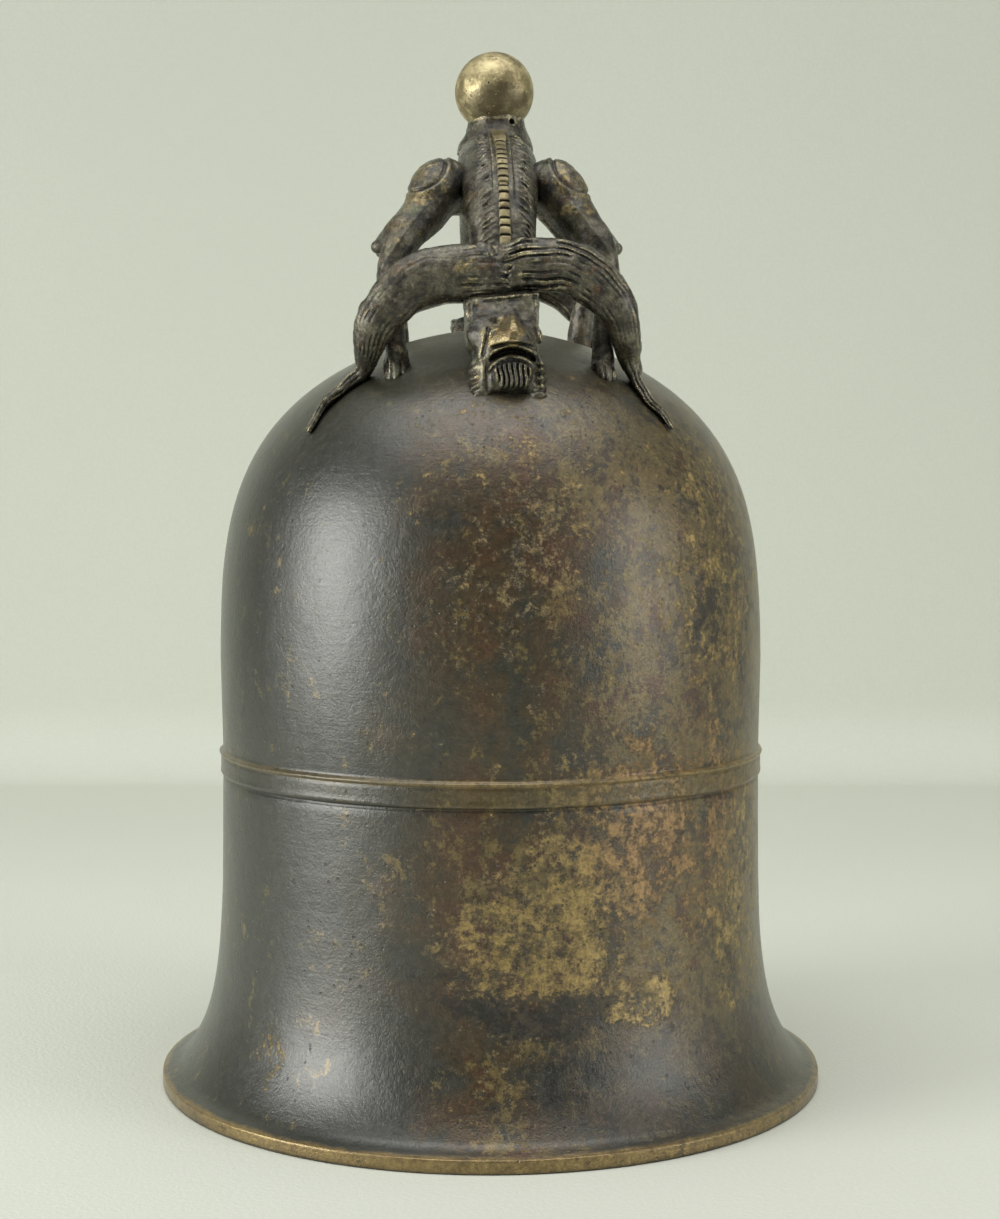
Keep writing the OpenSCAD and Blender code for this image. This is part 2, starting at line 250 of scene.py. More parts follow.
def surface_net(field, low, step):
    """Vertices and quads of the surface where a field on a grid changes sign."""
    n = np.array(field.shape)
    total = np.zeros((*(n - 1), 3), np.float32)
    count = np.zeros(n - 1, np.float32)
    for axis in range(3):
        others = [k for k in range(3) if k != axis]
        for shift in np.ndindex(2, 2):
            offset = np.zeros(3, int)
            offset[others] = shift
            near = tuple(slice(o, o + m) for o, m in zip(offset, n - 1))
            offset[axis] = 1
            far = tuple(slice(o, o + m) for o, m in zip(offset, n - 1))
            a, b = field[near], field[far]
            crossed = (a < 0) != (b < 0)
            share = a[crossed] / (a[crossed] - b[crossed])
            place = np.zeros((len(share), 3), np.float32)
            place[:, others] = shift
            place[:, axis] = share
            total[crossed] += place
            count[crossed] += 1
    used = count > 0
    index = np.full(n - 1, -1)
    index[used] = np.arange(used.sum())
    verts = low + step * (np.argwhere(used) + total[used] / count[used][:, None])
    quads = []
    for axis in range(3):
        b, c = (axis + 1) % 3, (axis + 2) % 3
        inner = [slice(1, -1)] * 3
        inner[axis] = slice(0, -1)
        ahead = list(inner)
        ahead[axis] = slice(1, None)
        first = field[tuple(inner)] < 0
        crossed = first != (field[tuple(ahead)] < 0)
        cell = np.argwhere(crossed)
        cell[:, [b, c]] += 1
        corners = []
        for back_b, back_c in ((1, 1), (0, 1), (0, 0), (1, 0)):
            k = cell.copy()
            k[:, b] -= back_b
            k[:, c] -= back_c
            corners.append(index[tuple(k.T)])
        quad = np.column_stack(corners)
        flip = ~first[crossed]
        quad[flip] = quad[flip][:, ::-1]
        quads.append(quad)
    return verts, np.vstack(quads)


def to_world(verts, rear):
    """From the hanger's frame to the row's."""
    turn = HANGER_TURN + (math.pi if rear else 0)
    c, s = math.cos(turn), math.sin(turn)
    x, y, z = verts.T
    return np.column_stack([c * x - s * y + HANGER_SHIFT, s * x + c * y, z + CROWN_H])


def over_dome(p):
    """Distance above the dome, for points in the row's frame."""
    r = np.hypot(p[:, 0], p[:, 1]) / SHOULDER_R
    h = np.maximum(p[:, 2] - DOME_Z, 0.01) / DOME_H
    level = r ** DOME_SIDE_POWER + h ** DOME_TOP_POWER - 1
    slope_r = DOME_SIDE_POWER * r ** (DOME_SIDE_POWER - 1) / SHOULDER_R
    slope_h = DOME_TOP_POWER * h ** (DOME_TOP_POWER - 1) / DOME_H
    return level / np.maximum(np.hypot(slope_r, slope_h), 1e-4)


BLOCK = 6         # grid points along the side of a block
CHUNK = 200000    # points worked out at a time
RELIEF = 1.2      # how far relief can stand out from a plain shape
FEEL = 1.0        # how far out and in a point is felt for its hollows and edges
ROOTED = 1.5      # how deep a piece goes into the crown


def sculpt(name, shape, low, high, step, material, rear=False):
    """Piece of the hanger from a distance field: only the blocks near its surface are worked out finely.

    Each piece ends just inside the dome's wall. Its "cavity" and "edge" values say how hollow or how sharp
    it is at a point.
    """
    def rooted(p):
        return np.maximum(shape(p), -ROOTED - over_dome(to_world(p, rear)))

    step = step
    low = np.array(low, float)
    blocks = np.ceil((np.array(high) - low) / (step * BLOCK)).astype(int)
    middle = np.stack(np.meshgrid(*[np.arange(b) for b in blocks], indexing="ij"), axis=-1)
    centres = low + step * (middle * BLOCK + (BLOCK - 1) / 2)
    coarse = rooted(centres.reshape(-1, 3)).reshape(blocks)
    near = np.abs(coarse) < step * BLOCK * 0.87 + RELIEF
    field = np.kron(np.where(coarse < 0, -9.0, 9.0), np.ones((BLOCK,) * 3))
    cells = np.stack(np.meshgrid(*[np.arange(BLOCK)] * 3, indexing="ij"), axis=-1).reshape(-1, 3)
    spots = (np.argwhere(near)[:, None, :] * BLOCK + cells).reshape(-1, 3)
    for part in np.array_split(spots, len(spots) // CHUNK + 1):
        field[tuple(part.T)] = rooted(low + step * part)
    verts, quads = surface_net(field, low, step)
    obj = mesh_object(name, to_world(verts, rear), quads, material)
    slope = np.column_stack([shape(verts + d) - shape(verts - d) for d in 0.2 * np.eye(3)])
    normals = unit(slope + 1e-9)
    feel_out = shape(verts + normals * FEEL) / FEEL
    feel_in = shape(verts - normals * FEEL) / FEEL
    for label, numbers in (("cavity", 1 - feel_out), ("edge", 1 + feel_in)):
        layer = obj.data.attributes.new(label, "FLOAT", "POINT")
        layer.data.foreach_set("value", np.clip(numbers, 0, 1).astype(np.float32))
    return obj


# ---- Looks: short calls for shader nodes ----

def tint(red, green, blue):
    """A colour as a screen shows it, 0 to 255, turned into the linear values that a shader takes."""
    return tuple((c / 255 / 12.92 if c <= 10 else ((c / 255 + 0.055) / 1.055) ** 2.4)
                 for c in (red, green, blue)) + (1.0,)


class Look:
    """A material under construction. Sizes are in metres, in the row's frame."""

    def __init__(self, name):
        self.material = bpy.data.materials.new(name)
        self.material.use_nodes = True
        self.tree = self.material.node_tree
        self.tree.nodes.clear()
        self.place = self.node("ShaderNodeTexCoord").outputs["Object"]

    def node(self, kind, **settings):
        made = self.tree.nodes.new(kind)
        for key, value in settings.items():
            setattr(made, key, value)
        return made

    def feed(self, socket, value):
        """A socket takes another one's output, or a plain value."""
        if isinstance(value, bpy.types.NodeSocket):
            self.tree.links.new(value, socket)
        else:
            socket.default_value = value

    def math(self, operation, a, b=0.0):
        made = self.node("ShaderNodeMath", operation=operation)
        self.feed(made.inputs[0], a)
        self.feed(made.inputs[1], b)
        return made.outputs[0]

    def add(self, a, b):
        return self.math("ADD", a, b)

    def times(self, a, b):
        return self.math("MULTIPLY", a, b)

    def less(self, a):
        """1 - a."""
        return self.math("SUBTRACT", 1.0, a)

    def rise(self, value, low, high, bottom=0.0, top=1.0):
        """bottom below low, top above high and smooth between."""
        made = self.node("ShaderNodeMapRange", interpolation_type="SMOOTHSTEP")
        for i, number in enumerate((value, low, high, bottom, top)):
            self.feed(made.inputs[i], number)
        return made.outputs[0]

    def mix(self, share, a, b):
        made = self.node("ShaderNodeMix", data_type="RGBA")
        self.feed(made.inputs[0], share)
        self.feed(made.inputs[6], a)
        self.feed(made.inputs[7], b)
        return made.outputs[2]

    def axis(self, letter):
        split = self.node("ShaderNodeSeparateXYZ")
        self.feed(split.inputs[0], self.place)
        return split.outputs[letter]

    def stretched(self, x, y, z, offset=0.0):
        """The place, scaled each way and moved, so that one noise isn't a copy of another."""
        made = self.node("ShaderNodeMapping")
        self.feed(made.inputs["Vector"], self.place)
        made.inputs["Scale"].default_value = (x, y, z)
        made.inputs["Location"].default_value = (offset, offset * 0.7, offset * 1.3)
        return made.outputs[0]

    def noise(self, size, detail=4.0, rough=0.55, twist=0.0, place=None):
        """Noise from about 0.2 to 0.8, which changes over about size."""
        made = self.node("ShaderNodeTexNoise")
        self.feed(made.inputs["Vector"], self.place if place is None else place)
        made.inputs["Scale"].default_value = 1 / size
        made.inputs["Detail"].default_value = detail
        made.inputs["Roughness"].default_value = rough
        made.inputs["Distortion"].default_value = twist
        return made.outputs[0]

    def spots(self, size, place=None):
        """Distance to scattered points, about size apart, as a share of size."""
        made = self.node("ShaderNodeTexVoronoi")
        self.feed(made.inputs["Vector"], self.place if place is None else place)
        made.inputs["Scale"].default_value = 1 / size
        return made.outputs["Distance"]

    def near(self, point, reach):
        """1 at a point, fading to 0 at reach, which is given along each axis."""
        offset = self.node("ShaderNodeVectorMath", operation="SUBTRACT")
        self.feed(offset.inputs[0], self.place)
        offset.inputs[1].default_value = point
        scale = self.node("ShaderNodeVectorMath", operation="DIVIDE")
        self.feed(scale.inputs[0], offset.outputs[0])
        scale.inputs[1].default_value = reach
        length = self.node("ShaderNodeVectorMath", operation="LENGTH")
        self.feed(length.inputs[0], scale.outputs[0])
        return self.rise(length.outputs["Value"], 1.1, 0.5)

    def gather(self, value, places):
        """A value with more of it near some points. A place is a point, its reach and how much more."""
        for point, reach, more in places:
            value = self.add(value, self.times(self.near(point, reach), more))
        return value

    def scaled(self, colour, factor):
        """A colour made lighter or darker."""
        made = self.node("ShaderNodeVectorMath", operation="SCALE")
        self.feed(made.inputs[0], colour[:3] if isinstance(colour, tuple) else colour)
        self.feed(made.inputs["Scale"], factor)
        return made.outputs[0]

    def value(self, label):
        """A number kept with each vertex."""
        return self.node("ShaderNodeAttribute", attribute_name=label).outputs["Fac"]

    def bumps(self, *layers):
        """Normal from (height, depth in metres) layers."""
        normal = None
        for height, depth in layers:
            made = self.node("ShaderNodeBump")
            made.inputs["Distance"].default_value = depth
            self.feed(made.inputs["Height"], height)
            if normal is not None:
                self.feed(made.inputs["Normal"], normal)
            normal = made.outputs[0]
        return normal

    def finish(self, colour, metal, rough, normal, coat=0.0):
        """The material, with its shader fed."""
        shader = self.node("ShaderNodeBsdfPrincipled")
        self.feed(shader.inputs["Base Color"], colour)
        self.feed(shader.inputs["Metallic"], metal)
        self.feed(shader.inputs["Roughness"], rough)
        self.feed(shader.inputs["Normal"], normal)
        self.feed(shader.inputs["Coat Weight"], coat)
        shader.inputs["Specular IOR Level"].default_value = 0.8
        shader.inputs["Coat Roughness"].default_value = 0.3
        out = self.node("ShaderNodeOutputMaterial")
        self.feed(out.inputs[0], shader.outputs[0])
        return self.material


CHARCOAL = tint(52, 53, 46)
BROWN = tint(70, 57, 35)
OLIVE = tint(108, 93, 54)
GOLD = tint(152, 130, 78)
BLACK = tint(28, 27, 24)
RED_BROWN = tint(84, 55, 34)
TAN = tint(142, 112, 70)
GREEN = tint(92, 98, 66)
BRASS = tint(168, 150, 102)
LIP_BRASS = tint(142, 122, 77)

# Places on the bell and the hanger: a point, its reach along each axis, and how much more there
WORN = (
    ((0.012, -0.089, 0.06), (0.034, 0.04, 0.028), 0.12),      # the large patch low on the front
    ((0.044, -0.08, 0.094), (0.036, 0.04, 0.034), 0.1),
    ((0.046, -0.079, 0.042), (0.02, 0.02, 0.01), 0.09),
    ((-0.067, -0.067, 0.023), (0.009, 0.012, 0.012), 0.11),   # a spot on the left of the flare
    ((0.078, -0.045, 0.075), (0.016, 0.03, 0.05), 0.08),
    ((0.07, -0.052, 0.165), (0.02, 0.03, 0.06), 0.06),
    ((0.0, -0.082, 0.19), (0.035, 0.03, 0.05), 0.05),
    ((0.06, 0.07, 0.09), (0.04, 0.04, 0.05), 0.14),           # two patches on the back
    ((-0.05, 0.075, 0.13), (0.04, 0.04, 0.04), 0.1),
)
BLACKENED = (
    ((0.067, -0.061, 0.158), (0.009, 0.02, 0.016), 0.11),     # right of the dome
    ((0.016, -0.09, 0.041), (0.03, 0.03, 0.009), 0.18),       # under the large patch
    ((-0.012, -0.09, 0.048), (0.016, 0.03, 0.009), 0.1),
    ((0.01, -0.094, 0.024), (0.03, 0.03, 0.012), 0.07),
)
RUBBED = (
    ((-0.021, -0.03, 0.294), (0.012, 0.02, 0.012), 0.14),     # front haunches
    ((0.026, -0.028, 0.29), (0.011, 0.02, 0.018), 0.15),
    ((-0.028, -0.034, 0.28), (0.008, 0.02, 0.012), 0.1),
    ((0.004, -0.066, 0.2445), (0.008, 0.008, 0.009), 0.3),    # nose and nape of the front head
    ((-0.008, -0.055, 0.262), (0.006, 0.01, 0.007), 0.12),
    ((0.02, 0.03, 0.293), (0.014, 0.02, 0.012), 0.2),         # rear haunches
    ((-0.02, 0.03, 0.293), (0.012, 0.02, 0.014), 0.16),
)
STAINED = (
    ((0.003, -0.011, 0.321), (0.016, 0.014, 0.0085), 0.34),   # low on the front of the jewel
    ((0.002, -0.002, 0.342), (0.007, 0.008, 0.004), 0.14),    # its top
)


def shell_bronze():
    """Dark patina: calm charcoal on the left, mottled brown and olive on the right, worn in places, with
    painted shade in its creases and a partly painted highlight on the band's ridge.
    """
    look = Look("shell_bronze")
    x, z = look.axis("X"), look.axis("Z")
    cloud = look.noise(0.05, 3.0)
    mottle = look.noise(0.014, 6.0, 0.68, 0.3)
    ragged = look.noise(0.01, 12.0, 0.9)
    tatters = look.noise(0.008, 10.0, 0.82, place=look.stretched(1, 1, 0.8, 0.77))
    islands = look.noise(0.009, 10.0, 0.82, place=look.stretched(1, 1, 1.3, 0.31))
    grain = look.noise(0.0026, 5.0, 0.75)
    fine = look.noise(0.0009, 3.0, 0.75)
    side = look.add(x, look.times(look.add(cloud, -0.5), 0.1))
    crumbs = look.times(look.add(grain, -0.5), 0.35)
    flare = look.times(look.rise(z, 0.05, 0.02), look.rise(side, 0.01, 0.04))
    lively = look.rise(side, -0.04, 0.015, 0.65, 1.0)
    colour = look.mix(look.rise(side, -0.05, 0.0), CHARCOAL, BROWN)
    reddish = look.times(look.rise(side, -0.05, 0.02), look.rise(mottle, 0.5, 0.62, 0.0, 0.7))
    colour = look.mix(reddish, colour, RED_BROWN)
    colour = look.mix(look.rise(mottle, 0.5, 0.38, 0.0, 0.8), colour, CHARCOAL)
    patchy = look.add(look.add(tatters, look.rise(side, -0.06, 0.08, -0.1, 0.05)), look.times(cloud, 0.2))
    patchy = look.add(look.add(patchy, crumbs), look.times(flare, -0.08))
    colour = look.mix(look.times(look.rise(patchy, 0.6, 0.63), 0.75), colour, OLIVE)
    colour = look.mix(look.times(flare, 0.55), colour, CHARCOAL)
    colour = look.mix(look.rise(z, 0.2, 0.24, 0.0, 0.7), colour, tint(66, 65, 50))

    # Where the patina is rubbed through: a little everywhere, more to the right, and most in the patches
    wear = look.add(look.rise(side, -0.06, 0.08, -0.1, -0.03), look.times(flare, -0.05))
    wear = look.gather(wear, WORN)
    level = look.add(look.add(ragged, wear), crumbs)
    worn = look.rise(level, 0.52, 0.545)
    rubbed = look.mix(look.rise(islands, 0.46, 0.56), GOLD, OLIVE)
    rubbed = look.mix(look.near((0.056, -0.07, 0.1), (0.034, 0.04, 0.05)), rubbed, TAN)
    colour = look.mix(look.times(worn, look.rise(level, 0.52, 0.62, 0.5, 0.95)), colour, rubbed)

    # Black islands
    black = look.rise(side, -0.03, 0.03, -0.05, 0.0)
    black = look.gather(black, BLACKENED)
    black = look.rise(look.add(look.add(islands, black), crumbs), 0.57, 0.6)
    colour = look.mix(look.times(black, 0.8), colour, BLACK)

    # The band's face is rubbed olive, its ridge has a gold line that is partly rubbed wear and partly a
    # painted highlight, and the lip is brass with brown stains
    height = look.times(z, 1 / MM)
    wobble = look.times(look.add(mottle, -0.5), 1.5)
    ridge_gap = look.math("ABSOLUTE", look.add(height, -(BAND_Z + BAND_H - RIDGE_W / 2)))
    # Gold on the ridge: rubbed wear and a painted highlight along its top
    ridge = look.times(look.rise(ridge_gap, 1.5, 0.7), look.rise(grain, 0.35, 0.5, 0.4, 1.0))
    face = look.rise(height, BAND_Z - 0.2, BAND_Z + 0.6)
    face = look.times(face, look.rise(height, BAND_Z + BAND_H, BAND_Z + BAND_H - 1))
    colour = look.mix(look.times(face, look.rise(side, -0.05, 0.02, 0.05, 0.55)), colour, OLIVE)
    colour = look.mix(look.times(ridge, look.rise(side, -0.06, 0.03, 0.25, 0.5)), colour, GOLD)
    lip = look.rise(look.add(height, wobble), LIP_H + 0.6, LIP_H - 0.1)
    lip_colour = look.mix(look.rise(ragged, 0.38, 0.58), tint(112, 92, 58), LIP_BRASS)
    colour = look.mix(look.times(lip, look.rise(islands, 0.6, 0.54, 0.35, 1.0)), colour, lip_colour)

    # Grain and pits, and painted shade in the hollows
    shade = look.times(look.rise(grain, 0.3, 0.7, 0.68, 1.34), look.rise(fine, 0.3, 0.7, 0.78, 1.22))
    colour = look.scaled(colour, look.add(1.0, look.times(look.add(shade, -1.0), lively)))
    pit = look.times(look.rise(look.spots(0.004), 0.15, 0.07), look.rise(cloud, 0.45, 0.55))
    colour = look.mix(look.times(pit, 0.7), colour, BLACK)
    # Painted shade: ambient occlusion blackens the colour in creases, by the band and where the hanger meets
    # the dome
    painted_crevice_shade = look.node("ShaderNodeAmbientOcclusion", samples=4)
    painted_crevice_shade.inputs["Distance"].default_value = 0.005
    colour = look.mix(look.rise(painted_crevice_shade.outputs["AO"], 0.75, 0.3, 0.0, 0.9), colour, BLACK)
    metal = look.add(look.times(worn, 0.15), look.add(look.times(lip, 0.3), 0.3))
    rough = look.add(look.times(grain, 0.2), look.add(look.times(worn, 0.12), 0.21))
    turned = look.noise(0.0011, 2.0, place=look.stretched(0.04, 0.04, 1.0))
    normal = look.bumps((look.noise(0.02, 2.0), 0.0004), (look.times(mottle, lively), 0.0003),
                        (look.times(grain, lively), 0.00026), (look.times(fine, lively), 0.00018),
                        (turned, 0.00005), (worn, 0.00006), (look.less(pit), 0.0002))
    return look.finish(colour, metal, rough, normal, 0.25)


def hanger_bronze():
    """Near-black in the hollows, from dark patina and painted shade, and brassy where it is rubbed, with
    green and red-brown stains and a painted glint on sharp edges.
    """
    look = Look("hanger_bronze")
    cavity, edge = look.value("cavity"), look.value("edge")
    mottle = look.noise(0.006, 6.0, 0.7)
    grain = look.noise(0.0013, 4.0, 0.75)
    ragged = look.noise(0.005, 8.0, 0.78, place=look.stretched(1, 1, 1, 0.6))
    colour = look.mix(look.rise(mottle, 0.38, 0.62), tint(45, 42, 33), tint(102, 97, 79))
    rubbed = look.add(look.rise(edge, 0.05, 0.35, 0.0, 0.16), -0.12)
    rubbed = look.gather(rubbed, RUBBED)
    rubbed = look.rise(look.add(ragged, rubbed), 0.5, 0.6)
    colour = look.mix(look.times(rubbed, 0.6), colour, BRASS)
    stain = look.rise(look.noise(0.005, 6.0, 0.75, place=look.stretched(1, 1, 1, 0.4)), 0.56, 0.62)
    colour = look.mix(look.times(stain, 0.45), colour, tint(104, 74, 42))
    stain = look.rise(look.noise(0.008, 4.0, place=look.stretched(1, 1, 1, 0.9)), 0.6, 0.66)
    colour = look.mix(look.times(stain, 0.55), colour, GREEN)
    # Sharp edges: rubbed wear, lightened to near white as a painted glint
    sharp = look.times(look.rise(edge, 0.1, 0.4), look.rise(grain, 0.38, 0.52))
    colour = look.mix(look.times(sharp, 0.55), colour, tint(178, 170, 136))
    colour = look.scaled(colour, look.rise(grain, 0.3, 0.7, 0.62, 1.4))
    # Painted shade: ambient occlusion blackens crevices and the joins between pieces; the cavity value adds
    # the dark patina of the hollows
    painted_crevice_shade = look.node("ShaderNodeAmbientOcclusion", samples=4)
    painted_crevice_shade.inputs["Distance"].default_value = 0.007
    shade = look.rise(painted_crevice_shade.outputs["AO"], 0.3, 0.85)
    hollow = look.math("MAXIMUM", look.rise(cavity, 0.05, 0.35), look.less(shade))
    colour = look.mix(look.times(hollow, 0.92), colour, BLACK)
    metal = look.add(look.times(rubbed, 0.25), 0.6)
    rough = look.add(look.times(grain, 0.24), look.add(look.times(rubbed, -0.04), 0.14))
    normal = look.bumps((mottle, 0.0004), (ragged, 0.0003), (grain, 0.0003))
    return look.finish(colour, metal, rough, normal, 0.3)


def polished_bronze():
    """Rubbed brass with brown stains, for the jewel and the ridges."""
    look = Look("polished_bronze")
    mottle = look.noise(0.008, 5.0, 0.7)
    grain = look.noise(0.0016, 4.0, 0.7)
    colour = look.mix(look.rise(mottle, 0.4, 0.62), tint(130, 117, 80), tint(198, 184, 138))
    low = look.noise(0.006, 6.0, 0.78, place=look.stretched(1, 1, 1, 0.2))
    dark = look.rise(look.gather(low, STAINED), 0.58, 0.82)
    colour = look.mix(look.times(dark, 0.7), colour, tint(72, 62, 44))
    # The ridges, below the jewel, are duller than it is
    colour = look.scaled(colour, look.rise(look.axis("Z"), 0.315, 0.32, 0.6, 1.0))
    pit = look.rise(look.spots(0.003), 0.16, 0.08)
    colour = look.mix(look.times(pit, look.rise(mottle, 0.5, 0.6)), colour, BLACK)
    hollow = look.rise(look.value("cavity"), 0.08, 0.3)
    colour = look.mix(look.times(hollow, 0.9), colour, BLACK)
    rough = look.add(look.times(grain, 0.25), 0.3)
    normal = look.bumps((mottle, 0.0003), (grain, 0.00016), (look.less(pit), 0.0002))
    return look.finish(colour, 0.6, rough, normal)


def striker_bronze():
    """Dull cast bronze, rubbed on the line that strikes."""
    look = Look("striker_bronze")
    mottle = look.noise(0.009, 5.0, 0.65)
    grain = look.noise(0.0018, 4.0, 0.7)
    colour = look.mix(look.rise(mottle, 0.38, 0.62), tint(86, 68, 44), tint(124, 102, 66))
    belt = look.rise(look.math("ABSOLUTE", look.add(look.axis("Z"), -0.046)), 0.009, 0.002)
    belt = look.times(belt, look.rise(grain, 0.35, 0.55, 0.3, 1.0))
    colour = look.mix(belt, colour, BRASS)
    normal = look.bumps((mottle, 0.0006), (grain, 0.0003))
    metal = look.add(look.times(belt, 0.3), 0.55)
    return look.finish(colour, metal, look.add(look.times(grain, 0.3), 0.25), normal)


def old_iron():
    """Forged iron, brown-black, with rust."""
    look = Look("old_iron")
    mottle = look.noise(0.007, 6.0, 0.7)
    grain = look.noise(0.0015, 4.0, 0.75)
    colour = look.mix(look.rise(mottle, 0.42, 0.6), tint(52, 47, 43), tint(98, 66, 44))
    colour = look.mix(look.rise(grain, 0.6, 0.72, 0.0, 0.6), colour, tint(136, 84, 50))
    normal = look.bumps((mottle, 0.0006), (grain, 0.0004))
    return look.finish(colour, 0.45, look.rise(grain, 0.3, 0.7, 0.5, 0.85), normal)


def studio_paper(name, colour):
    """Plain pale paper with a faint grain."""
    look = Look(name)
    grain = look.noise(0.0016, 3.0)
    cloud = look.noise(0.4, 2.0)
    darker = [c * 0.955 for c in colour[:3]] + [1.0]
    shade = look.mix(look.rise(look.add(grain, cloud), 0.7, 1.3), colour, darker)
    return look.finish(shade, 0.0, 0.85, look.bumps((grain, 0.0002)))


# ---- Bell shell ----

def waist(z):
    return WAIST_R + FLARE_OUT * math.exp(-z / FLARE_FADE)


def inner_waist(z):
    return WAIST_R - WALL + INNER_FLARE_OUT * math.exp(-z / FLARE_FADE)


def dome(radius, height, angle):
    c, s = max(math.cos(angle), 0.0), math.sin(angle)
    return radius * c ** (2 / DOME_SIDE_POWER), DOME_Z + height * s ** (2 / DOME_TOP_POWER)


def shell_outline():
    """Half the section of the bell, from the lip over the outside to the crown and back down the inside."""
    edge = 0.5
    hub = 0.02    # how far from the axis the closed outline passes
    lip = [(RIM_R - 2.5, 0), (RIM_R - edge, 0.0), (RIM_R - 0.15, 0.15), (RIM_R, edge)]
    lip += [(RIM_R, z) for z in np.linspace(1.0, LIP_H - edge, 8)]
    lip += [(RIM_R - 0.12, LIP_H - 0.15), (RIM_R - edge, LIP_H), (RIM_R - 1.0, LIP_H + 0.1),
            (RIM_R - 1.5, LIP_H + 0.35), (RIM_R - 3.2, LIP_H + 0.9), (RIM_R - 5, LIP_H + 1.5)]
    flare = [(waist(z), z) for z in FLARE_START + (BAND_Z - 1.6 - FLARE_START) * np.linspace(0, 1, 56) ** 1.3]
    top = BAND_Z + BAND_H
    ridge = top - RIDGE_W
    band = [(WAIST_R - 0.05, BAND_Z - 1.2), (WAIST_R - 0.5, BAND_Z - 0.7), (WAIST_R - 0.5, BAND_Z - 0.2),
            (WAIST_R + 0.3, BAND_Z + 0.1), (WAIST_R + BAND_PROUD, BAND_Z + 0.4),
            (WAIST_R + BAND_PROUD + 0.15, BAND_Z + 0.9), (WAIST_R + BAND_PROUD + 0.1, BAND_Z + 1.5)]
    band += [(WAIST_R + BAND_PROUD, z) for z in np.linspace(BAND_Z + 2.2, ridge - 0.6, 6)]
    band += [(WAIST_R + BAND_PROUD - 0.25, ridge - 0.2), (WAIST_R + BAND_PROUD - 0.1, ridge + 0.1),
             (WAIST_R + BAND_PROUD + 0.4, ridge + 0.4), (WAIST_R + BAND_PROUD + 0.55, ridge + 0.8),
             (WAIST_R + BAND_PROUD + 0.4, top - 0.4), (WAIST_R + 0.35, top - 0.1),
             (WAIST_R - 0.1, top + 0.3), (WAIST_R, top + 1.0)]
    outer = [dome(SHOULDER_R, DOME_H, a) for a in np.radians(np.linspace(1.6, 89.4, 90))]
    inner_r, inner_h = SHOULDER_R - WALL, DOME_H - CROWN_WALL
    inner_top = CROWN_H - CROWN_WALL
    boss = [(hub, inner_top - BOSS_H), (BOSS_R - 1, inner_top - BOSS_H), (BOSS_R, inner_top - BOSS_H + 1),
            (BOSS_R + 0.2, inner_top - 1.5), (BOSS_R + 2, inner_top - 0.6)]
    inner = [dome(inner_r, inner_h, a) for a in np.radians(np.linspace(75, 2.5, 44))]
    inside = [(inner_waist(z), z) for z in np.linspace(DOME_Z - 4, 0, 44)]
    return lip + flare + band + outer + [(hub, CROWN_H)] + boss + inner + inside


def cast_by_hand(verts):
    """Moves the shell's vertices: soft waves, a wandering band, a nicked lip and shallow dents."""
    x, y, z = verts.T
    r = np.hypot(x, y)
    out = np.column_stack([x, y]) / np.maximum(r, 1e-6)[:, None]
    wave = 0.12 * value_noise(verts, 42, 1) + 0.05 * value_noise(verts, 13, 2)
    wave += 0.025 * value_noise(verts, 4, 3)
    round_way = np.column_stack([x, y, np.zeros(len(z))])
    band = rise(z, BAND_Z - 3, BAND_Z) * rise(z, BAND_Z + BAND_H + 3, BAND_Z + BAND_H)
    ridge = bump(z - (BAND_Z + BAND_H - RIDGE_W / 2), 1.2)
    wander = 0.3 * value_noise(round_way, 55, 4) + 0.12 * value_noise(round_way, 9, 5)
    rough = -0.22 * np.maximum(value_noise(round_way, 2.4, 6), 0) * ridge
    lip = rise(z, LIP_H + 1.2, LIP_H) * rise(r, RIM_R - 4, RIM_R - 1)
    nick = -0.35 * np.maximum(value_noise(round_way, 1.8, 7) - 0.45, 0) * bump(z - LIP_H + 0.6, 1.0)
    uneven = 0.1 * value_noise(round_way, 30, 8) - 0.1
    dent = -0.5 * bump(z - 167.5, 3.2) * bump(x - 42, 16) * (y < 0)
    dent += -0.3 * bump(z - 150, 8) * bump(x + 58, 10) * (y < 0)
    push = wave * (1 - lip) + rough * band + (nick + uneven) * lip + dent
    moved = verts.copy()
    moved[:, :2] += out * push[:, None] * (r > 2)[:, None]
    moved[:, 2] += wander * band
    moved[:, 2] = np.minimum(moved[:, 2], CROWN_H)
    return moved


# ---- Hanger ----

# Paths in mm, in the hanger's own frame: x, y, z and the two half sizes of the limb there
ARCH_HALF = [(0, -47, 6.4, 6.4, 9), (0, -44.5, 20, 7.4, 9.8), (0, -36, 36, 8.4, 11.4),
             (0, -22, 48, 8.8, 12.8), (0, -10, 54, 8.8, 12.4)]
REAR_NARROW = 0.88
ARCH = ARCH_HALF + [(0, 0, ARCH_H - 8.8, 8.8, 11.8)]
ARCH += [(x, -y, z, a, b * REAR_NARROW) for x, y, z, a, b in ARCH_HALF[::-1]]
LEG = [(9, -19, 43, 6, 6), (18.3, -23, 43.4, 9.3, 9.2), (24.2, -28, 34.4, 7.3, 7.2),
       (31.2, -32.5, 25.4, 5.7, 5.6), (34.8, -36, 14, 4.3, 4.2), (34, -38, 3, 3.6, 3.6),
       (33.4, -40, -7, 3.2, 3.6), (33.3, -41.5, -13, 3.8, 4.2), (33.4, -43, -18, 4.1, 4.6)]
HOCK = [(30.5, -31, 27.5, 4.6, 4.4), (35.6, -29, 25.2, 3.8, 3.8), (38.6, -27.8, 23.8, 2.2, 2.3)]
